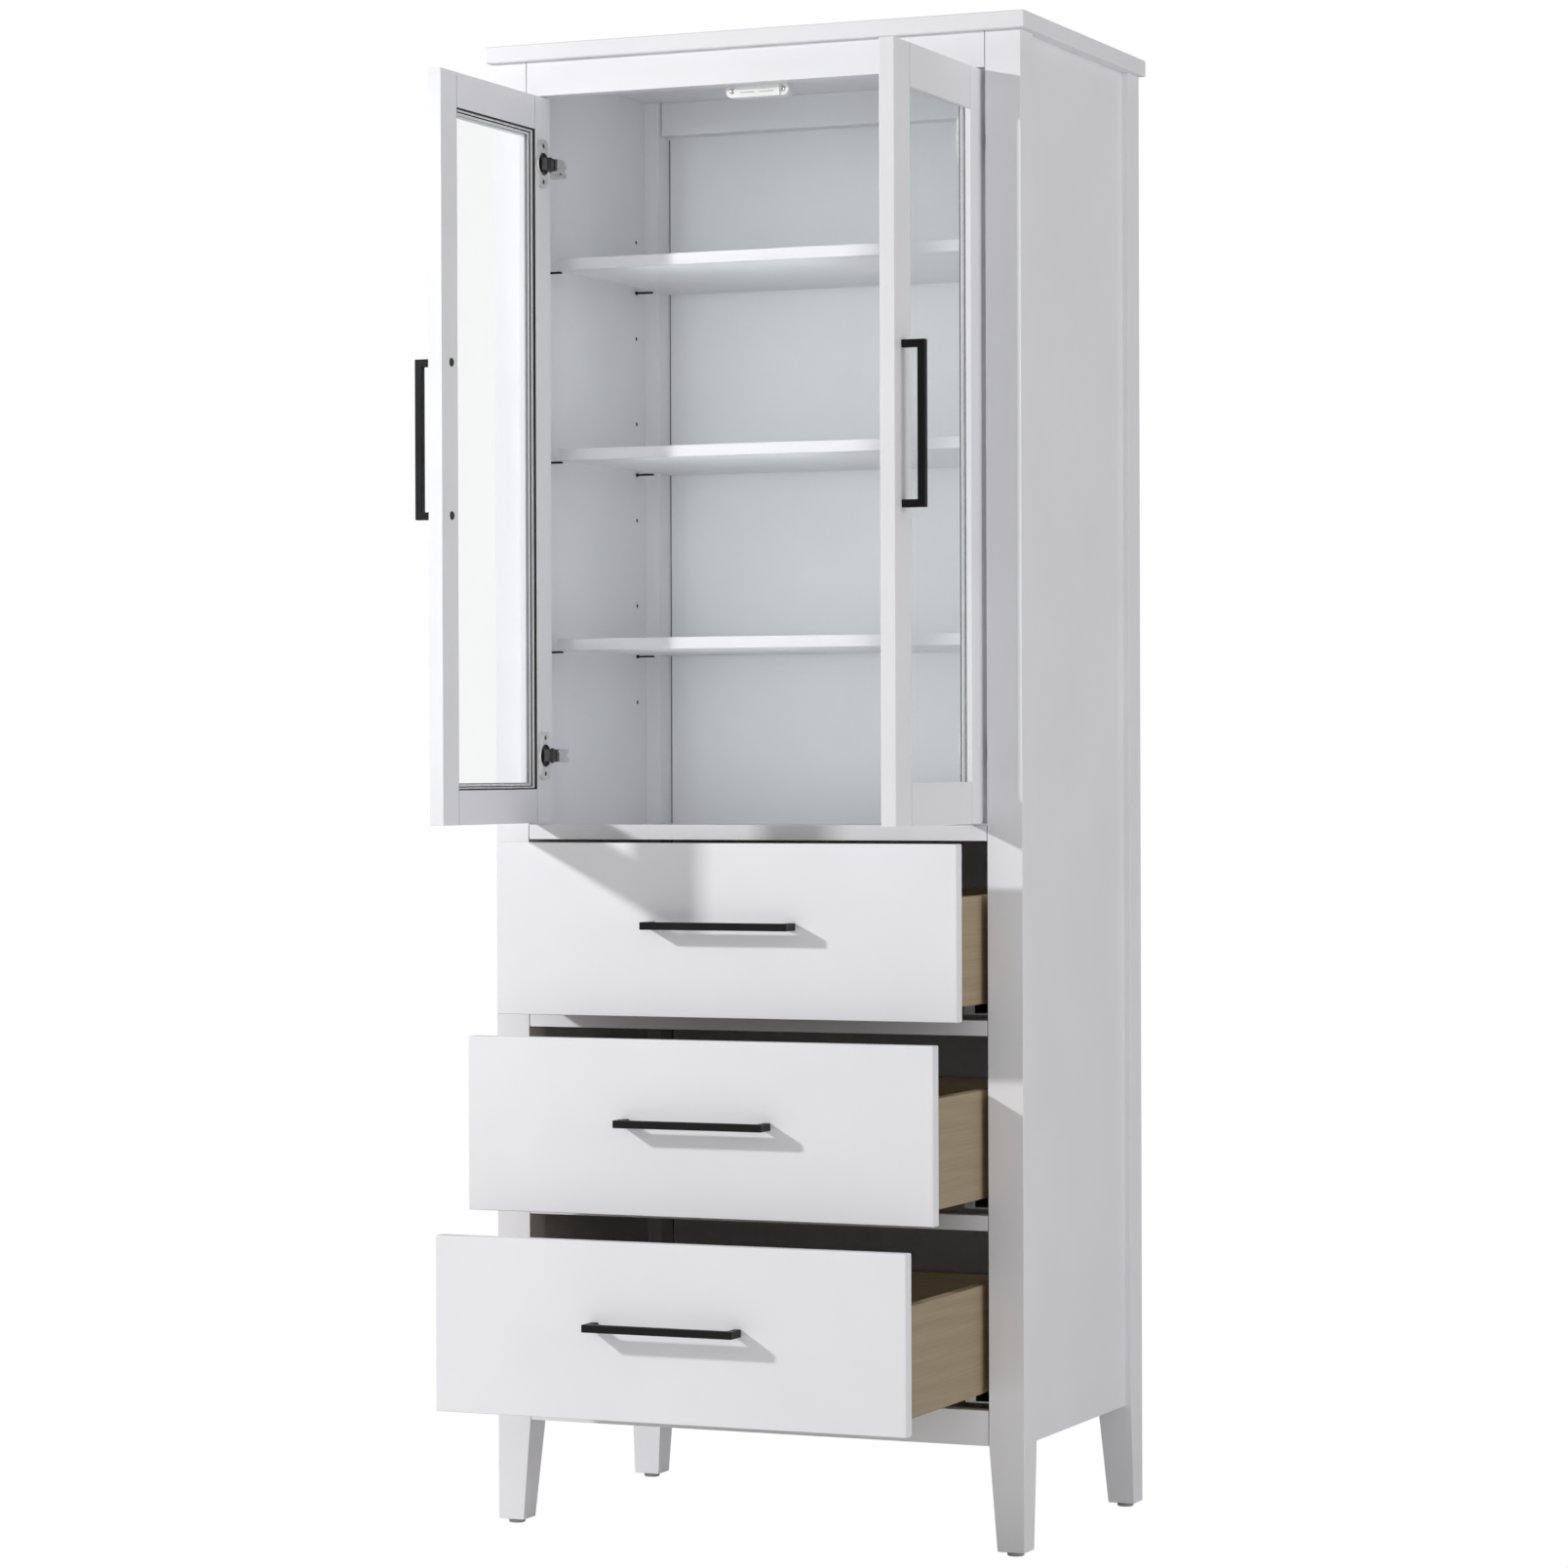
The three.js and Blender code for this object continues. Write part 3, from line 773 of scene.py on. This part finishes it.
def door_stiles(s, side, door):
    """The stile with the two cup bores, and the free one. Both have a rabbet for the glass."""
    low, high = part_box(f"{door}_frame")
    face = outer_x(s, low, high)
    back = inner_x(s, low, high)
    thick = high.x - low.x
    width = high.y - low.y
    section = [
        (0, 0), (DOOR_MEMBER, 0), (DOOR_MEMBER, DOOR_LIP),
        (DOOR_STEP, DOOR_LIP), (DOOR_STEP, thick), (0, thick),
    ]
    mirrored = [(width - across, depth) for across, depth in section]
    stiles = []
    for outline in (section, mirrored):
        bm = bmesh.new()
        points = [(face - s * depth, high.y - across) for across, depth in outline]
        prism(bm, points, Z_AXIS, low.z, high.z)
        stiles.append(bm)
    hinge_stile, free_stile = stiles

    bores = bmesh.new()
    for level in LEVELS:
        cup_low, cup_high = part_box(f"hinge_cup_{side}_{level}")
        start = (back - s * OVERRUN, (cup_low.y + cup_high.y) / 2, hinge_height(side, level))
        rod(bores, CUP_BORE, start, (s, 0, 0), CUP_BORE_DEPTH + OVERRUN, steps=48)
    hinge_stile = carve(f"{door}_hinge_stile", hinge_stile, bores)
    piece(f"{door}_hinge_stile", hinge_stile, PAINT_UPRIGHT, door, [f"{door}_frame"], SEAM)
    piece(f"{door}_free_stile", free_stile, PAINT_UPRIGHT, door, rounding=SEAM)


def door_rail(s, door, end, edge, inwards):
    """A rail from its outer edge inwards, up or down: a front layer, a rear layer, and tenons."""
    low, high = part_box(f"{door}_frame")
    face = outer_x(s, low, high)
    back = inner_x(s, low, high)
    lip = face - s * DOOR_LIP

    def layer(x0, x1, margin, z0, z1):
        return block((x0, low.y + margin, edge + inwards * z0), (x1, high.y - margin, edge + inwards * z1))

    front = layer(face, lip, DOOR_MEMBER + DOOR_SEAM_GAP, 0, DOOR_MEMBER)
    rear = layer(lip, back, DOOR_STEP + DOOR_SEAM_GAP, 0, DOOR_STEP)
    tenon_x = (face - s * SEAM_DEPTH, back + s * SEAM_DEPTH)
    tenons = layer(*tenon_x, DOOR_STEP - TENON, SEAM_DEPTH, DOOR_STEP - SEAM_DEPTH)
    whole = join("rail", front, rear, tenons)
    piece(f"{door}_{end}_rail", whole, PAINT_DOOR_RAIL, door, rounding=0.25 * MM, segments=2)


def glazing_strip(s, door, name, section, material, nodes=()):
    """A strip with mitred corners, all the way round a pane."""
    low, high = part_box(f"{door}_bead")
    glass = outer_x(s, low, high)
    bm = bmesh.new()
    rings = []
    for inset, rise in section:
        x = glass - s * rise * MM
        y0, y1 = low.y + inset * MM, high.y - inset * MM
        z0, z1 = low.z + inset * MM, high.z - inset * MM
        rings.append([bm.verts.new(p) for p in ((x, y0, z0), (x, y1, z0), (x, y1, z1), (x, y0, z1))])
    for k in range(len(rings)):
        bridge(bm, rings[k - 1], rings[k])
    piece(f"{door}_{name}", bm, material, door, nodes, rounding=0.15 * MM, segments=2)


def door_pull(s, side, door):
    """The handle, and its two screws on the back of the door."""
    bar_pull(door, door, side)
    back = inner_x(s, *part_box(f"{door}_frame"))
    low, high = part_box(f"{door}_handle")
    half = (high.y - low.y) / 2
    places = [((back, low.y + half, z), (-s, 0, 0)) for z in (low.z + half, high.z - half)]
    screws(f"{door}_pull_screws", HANDLE_SCREW, places, DARK_STEEL, door)


for s, side in SIDES:
    door = f"door_{side}"
    low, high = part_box(f"{door}_frame")
    door_stiles(s, side, door)
    door_rail(s, door, "upper", high.z, -1)
    door_rail(s, door, "lower", low.z, 1)
    dress(f"{door}_glass", GLASS)
    glazing_strip(s, door, "bead_strip", BEAD_SECTION, BEAD, [f"{door}_bead"])
    # Near-black strips of painted shade in the gap beside the bead and in its groove.
    glazing_strip(s, door, "shade_gap_strip", SHADE_GAP_SECTION, SHADE_BLACK)
    glazing_strip(s, door, "groove_shade_line", GROOVE_SHADE_SECTION, SHADE_BLACK)
    door_pull(s, side, door)

# ---------- hinges ----------

CUP_WALL = 1 * MM
CUP_FLOOR = 0.9 * MM
CUP_EDGE = 1.5 * MM           # slope round the cup's foot
FLANGE_HALF = 11 * MM         # half the width of the cup's flange
FLANGE_CORNER = 6.5 * MM
FLANGE_THICK = 3.2 * MM
FLANGE_SCREW = 6.5 * MM       # from the flange's end to its screw
FLANGE_HOLE = 2.6 * MM
FLANGE_SEAT = 1.5 * MM        # the screws' seat, off the back of the door

# The arm's parts. OUT is how far they stand out of the post, and HALF is half a height.
ARM_FORE = 13.5 * MM          # its front end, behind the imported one's
ARM_OUT = 16 * MM
ARM_HALF = 7.3 * MM
WING_HALF = (8 * MM, 25 * MM)       # half the wing plate's width and length
WING_CORNER = 4 * MM
WING_OUT = 2.2 * MM
WING_SCREW = 18 * MM          # its screws, over and under the middle
NECK_OUT = (14 * MM, 34 * MM)
NECK_LENGTH = 7.5 * MM
NECK_HALF = 5.8 * MM
NOSE_OUT = (24 * MM, 34 * MM)
NOSE_FORE = 1 * MM            # its front end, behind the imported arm's
NOSE_OVERLAP = 4 * MM         # how far it runs into the neck
NOSE_HALF = 6.6 * MM
CUTS_OUT = (14.6 * MM, 20 * MM)     # floor of the recess and the notch, and past the arm's face
RECESS = (27 * MM, 12 * MM)   # where the screw's recess starts and ends, before the arm's rear end
RECESS_HALF = 5 * MM
ARM_SCREW = 20 * MM           # from the arm's rear end to its screw
NOTCH = 8 * MM                # the open notch in the rear end
NOTCH_HALF = 2.6 * MM

# The folding link seen from above, as (out of the post, behind the cup's middle) in mm.
LINK_OUTLINE = ((16, -4.5), (25, -4.5), (29, 0), (30.5, 6), (30.5, 14), (24, 14), (22, 9), (16, 5.5))
LINK_HALF = 7 * MM
LINK_PIN = 1.6 * MM           # radius of its pins
LINK_PINS = ((27.5, 11, 8.2), (20, 0.5, 10))      # the same two measures, and half the pin's length


def hinge_cup(s, side, level, door):
    """A drawn bowl in a rounded plate, with two screws."""
    name = f"hinge_cup_{side}_{level}"
    low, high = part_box(name)
    back = inner_x(s, *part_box(f"{door}_frame"))
    inward = (-s, 0, 0)
    y = (low.y + high.y) / 2
    z = hinge_height(side, level)
    radius = (high.y - low.y) / 2
    bore = radius - CUP_WALL
    floor = -abs(back - outer_x(s, low, high))
    half_length = (high.z - low.z) / 2
    screw_z = [z + up * (half_length - FLANGE_SCREW) for up in (-1, 1)]

    plate = bmesh.new()
    outline = rounded_plate((y, z), FLANGE_HALF, half_length, FLANGE_CORNER)
    prism(plate, outline, X_AXIS, back, back - s * FLANGE_THICK)
    holes = bmesh.new()
    start_x = back + s * OVERRUN
    through = FLANGE_THICK + 2 * OVERRUN
    rod(holes, bore, (start_x, y, z), inward, through, steps=40)
    for hole_z in screw_z:
        rod(holes, FLANGE_HOLE, (start_x, y, hole_z), inward, through, steps=20)
    cup = carve("plate", plate, holes)
    lathe(cup, [
        (0, floor), (radius - CUP_EDGE, floor), (radius, floor + CUP_EDGE),
        (radius, FLANGE_THICK - 0.2 * MM), (radius - 0.4 * MM, FLANGE_THICK + 0.2 * MM),
        (bore, FLANGE_THICK), (bore, floor + 2 * MM),
        (radius - 2.2 * MM, floor + CUP_FLOOR), (0, floor + CUP_FLOOR),
    ], (back, y, z), inward, steps=48)
    piece(f"{name}_bowl", cup, SATIN_NICKEL, door, [name], 0.5 * MM, 2, True)
    places = [((back - s * FLANGE_SEAT, y, at), inward) for at in screw_z]
    screws(f"{name}_screws", TINY_SCREW, places, DARK_STEEL, door)


def hinge_arm(s, side, level):
    """A wing plate on the post, the arm with its adjusting screw, and a neck and nose towards the cup."""
    name = f"hinge_arm_{side}_{level}"
    low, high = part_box(name)
    wall = inner_x(s, *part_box(f"post_front_{side}"))
    z = hinge_height(side, level)
    fore = low.y + ARM_FORE
    rear = high.y
    wing_y = fore + WING_HALF[0]

    def corners(outs, ys, half):
        return (wall - s * outs[0], ys[0], z - half), (wall - s * outs[1], ys[1], z + half)

    wing = bmesh.new()
    prism(wing, rounded_plate((wing_y, z), *WING_HALF, WING_CORNER), X_AXIS, wall, wall - s * WING_OUT)
    arm = block(*corners((0, ARM_OUT), (fore, rear), ARM_HALF))
    neck = block(*corners(NECK_OUT, (fore, fore + NECK_LENGTH), NECK_HALF))
    nose = block(*corners(NOSE_OUT, (low.y + NOSE_FORE, fore + NOSE_OVERLAP), NOSE_HALF))
    cuts = bmesh.new()
    slab(cuts, *corners(CUTS_OUT, (rear - NOTCH, rear + OVERRUN), NOTCH_HALF))
    slab(cuts, *corners(CUTS_OUT, (rear - RECESS[0], rear - RECESS[1]), RECESS_HALF))
    whole = carve("arm", join("arm", wing, arm, neck, nose), cuts)
    piece(f"{name}_plate", whole, NICKEL, "cabinet", [name], 0.6 * MM, 2)
    seats = (
        (WING_OUT, wing_y, z + WING_SCREW), (WING_OUT, wing_y, z - WING_SCREW),
        (CUTS_OUT[0], rear - ARM_SCREW, z),
    )
    places = [((wall - s * out, y, at), (-s, 0, 0)) for out, y, at in seats]
    screws(f"{name}_screws", SMALL_SCREW, places, DARK_STEEL, "cabinet")


def hinge_link(s, side, level):
    """The dark folded link between the arm and the cup, baked in place and attached to no body."""
    low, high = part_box(f"hinge_cup_{side}_{level}")
    wall = inner_x(s, *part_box(f"post_front_{side}"))
    y = (low.y + high.y) / 2
    z = hinge_height(side, level)

    def at(out, behind):
        return wall - s * out * MM, y + behind * MM

    bm = bmesh.new()
    prism(bm, [at(*point) for point in LINK_OUTLINE], Z_AXIS, z - LINK_HALF, z + LINK_HALF)
    for out, behind, half in LINK_PINS:
        rod(bm, LINK_PIN, (*at(out, behind), z - half * MM), (0, 0, 1), 2 * half * MM, steps=20)
    link = piece(f"hinge_link_{side}_{level}", bm, DARK_STEEL, None, rounding=0.8 * MM, segments=2)
    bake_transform(link)


for s, side in SIDES:
    for level in LEVELS:
        hinge_cup(s, side, level, f"door_{side}")
        hinge_arm(s, side, level)
        hinge_link(s, side, level)

# ---------- drawers ----------

RUNNER_WALL = 1.5 * MM        # the runners' screws sit so far inside their outer face
RUNNER_SCREW_DROP = 8 * MM    # from a runner's top to its screws
RUNNER_SCREW_SHARES = (0.06, 0.5, 0.94)     # places along a runner, as shares of its length


def drawer(n):
    """The front with its handle, and a box of two sides, two ends and a bottom."""
    body = f"drawer_{n}"
    board(f"{body}_front", PAINT, body, rounding=1.0 * MM)
    bar_pull(body, body)
    low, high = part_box(f"{body}_box")
    bottom_low, bottom_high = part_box(f"{body}_bottom")
    thick = high.x - bottom_high.x
    for s, side in SIDES:
        wall = block((s * high.x, low.y, low.z), (s * (high.x - thick), high.y, high.z))
        nodes = [f"{body}_box"] if side == "left" else []
        piece(f"{body}_box_{side}", wall, WOOD_LENGTH, body, nodes, rounding=1.4 * MM)
    for end, y in (("front", low.y), ("rear", high.y - thick)):
        wall = block((bottom_low.x, y, bottom_low.z), (bottom_high.x, y + thick, high.z))
        piece(f"{body}_box_{end}", wall, WOOD_ACROSS, body, rounding=0.8 * MM)
    bottom = block(bottom_low, bottom_high)
    piece(f"{body}_bottom_board", bottom, WOOD_ACROSS, body, [f"{body}_bottom"], rounding=0.3 * MM)
    pull_low, pull_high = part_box(f"{body}_handle")
    half = (pull_high.z - pull_low.z) / 2
    places = [
        ((x, low.y + thick, pull_low.z + half), (0, 1, 0))
        for x in (pull_low.x + half, pull_high.x - half)
    ]
    screws(f"{body}_pull_screws", HANDLE_SCREW, places, NICKEL, body)


def runner_screw_places():
    """Three screws through each runner into the side of the cabinet."""
    places = []
    for n in DRAWERS:
        for s, side in SIDES:
            low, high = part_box(f"runner_{n}_{side}")
            x = outer_x(s, low, high) - s * RUNNER_WALL
            for share in RUNNER_SCREW_SHARES:
                y = low.y + share * (high.y - low.y)
                places.append(((x, y, high.z - RUNNER_SCREW_DROP), (-s, 0, 0)))
    return places


for n in DRAWERS:
    drawer(n)
    for s, side in SIDES:
        dress(f"runner_{n}_{side}", ZINC)
screws("runner_screws", SMALL_SCREW, runner_screw_places(), ZINC, "cabinet")

# ---------- fixings on the back ----------

BACK_SCREW_SIDE = 12 * MM     # from the back panel's side edges to its screws
BACK_SCREW_END = 15 * MM      # from its top and bottom edges
BACK_SCREW_ROWS = 8
BACK_SCREW_COLUMNS = 5


def back_screw_places():
    """Screws round the edge of the back panel."""
    low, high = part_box("back_panel")
    bottom, top = low.z + BACK_SCREW_END, high.z - BACK_SCREW_END
    left, right = low.x + BACK_SCREW_SIDE, high.x - BACK_SCREW_SIDE
    points = []
    for x in (left, right):
        for k in range(BACK_SCREW_ROWS):
            points.append((x, bottom + k * (top - bottom) / (BACK_SCREW_ROWS - 1)))
    for k in range(1, BACK_SCREW_COLUMNS - 1):
        x = left + k * (right - left) / (BACK_SCREW_COLUMNS - 1)
        points += [(x, bottom), (x, top)]
    return [((x, high.y, z), (0, 1, 0)) for x, z in points]


screws("back_panel_screws", SMALL_SCREW, back_screw_places(), ZINC, "cabinet")

# ---------- floor, light and camera ----------

STAGE = 30.0                  # side of the square floor
FLOOR_DROP = 0.2 * MM         # the floor's depth under the glides
SKY_LIGHT = 0.295             # strength of the white world as a light


def stage_floor():
    """The floor. The photo's ground is cut out to plain white, so to the camera it is white."""
    half = STAGE / 2
    bm = bmesh.new()
    corners = ((-half, -half), (half, -half), (half, half), (-half, half))
    bm.faces.new([bm.verts.new((x, y, -FLOOR_DROP)) for x, y in corners])
    mesh = bpy.data.meshes.new("floor")
    bm.to_mesh(mesh)
    bm.free()
    shown_object("floor", mesh)
    pale = Finish("pale_floor", Base_Color=(0.85, 0.85, 0.85, 1), Roughness=0.9, Specular_IOR_Level=0.1)
    glow = pale.feed(pale.node("Emission"), Strength=1.0)
    shown = pale.node("MixShader")
    for source, socket in zip(
        (pale.node("LightPath").outputs["Is Camera Ray"], pale.shader.outputs[0], glow.outputs[0]),
        shown.inputs,
    ):
        pale.put(source, socket)
    pale.feed(pale.tree.nodes["Material Output"], Surface=shown.outputs[0])
    mesh.materials.append(pale.material)


def white_world():
    """A world that is plain white to the camera, and a soft light to everything else."""
    world = bpy.data.worlds.new("studio")
    world.use_nodes = True
    bpy.context.scene.world = world
    sky = world.node_tree
    backdrop = sky.nodes["Background"]
    backdrop.inputs["Color"].default_value = (1, 1, 1, 1)
    strength = sky.nodes.new("ShaderNodeMapRange")
    strength.inputs["To Min"].default_value = SKY_LIGHT
    strength.inputs["To Max"].default_value = 1.0
    seen = sky.nodes.new("ShaderNodeLightPath").outputs["Is Camera Ray"]
    sky.links.new(seen, strength.inputs["Value"])
    sky.links.new(strength.outputs["Result"], backdrop.inputs["Strength"])


def area_light(name, place, target, size, power, colour=(1, 1, 1), height=None):
    """A square light, or an oblong one where it has a height, turned to a target."""
    data = bpy.data.lights.new(name, "AREA")
    data.shape = "SQUARE"
    data.size = size
    if height is not None:
        data.shape = "RECTANGLE"
        data.size_y = height
    data.energy = power
    data.color = colour
    light = bpy.data.objects.new(name, data)
    bpy.context.scene.collection.objects.link(light)
    light.location = place
    light.rotation_euler = (Vector(target) - Vector(place)).to_track_quat("-Z", "Y").to_euler()
    return light


stage_floor()
white_world()

MIDDLE = (0, 0, 0.8)          # what the lights outside aim at
area_light("key", (-2.955, -2.31, 2.24), MIDDLE, size=0.2, power=107)
area_light("fill_right", (4.2, -0.6, 1.6), MIDDLE, size=2.4, power=53)
area_light("fill_front", (1.0, -4.6, 1.3), MIDDLE, size=2.6, power=21)

# The photo's shelves are lit almost as brightly as the outside. A panel in the doorway shines inwards,
# and so does a narrow beam from in front.
INSIDE_TINT = (0.92, 1.0, 0.96)
area_light("inside", (-0.06, 0.010, 1.165), (-0.06, 1, 1.165), 0.24, 0.51, INSIDE_TINT, height=0.80)
beam = area_light("beam", (-0.06, -1.4, 1.17), (-0.06, 1, 1.17), 0.42, 0.13, INSIDE_TINT, height=0.74)
beam.data.spread = math.radians(8)

# The camera's lens, place and turns come from fitting it to the photo.
LENS = 108.36
SHIFT = (0.04175, 0.00572)
CAMERA_PLACE = (1.97807, -4.69947, 0.83137)
YAW, PITCH, ROLL = (math.radians(angle) for angle in (23.543, -0.375, -0.189))

camera_data = bpy.data.cameras.new("camera")
camera_data.sensor_width = 36
camera_data.lens = LENS
camera_data.shift_x, camera_data.shift_y = SHIFT
camera_data.clip_end = 100
camera = shown_object("camera", camera_data)
turned = Matrix.Rotation(YAW, 4, "Z") @ Matrix.Rotation(math.pi / 2 + PITCH, 4, "X")
camera.matrix_world = Matrix.Translation(CAMERA_PLACE) @ turned @ Matrix.Rotation(ROLL, 4, "Z")
bpy.context.scene.camera = camera

bpy.context.scene.view_settings.view_transform = "Standard"
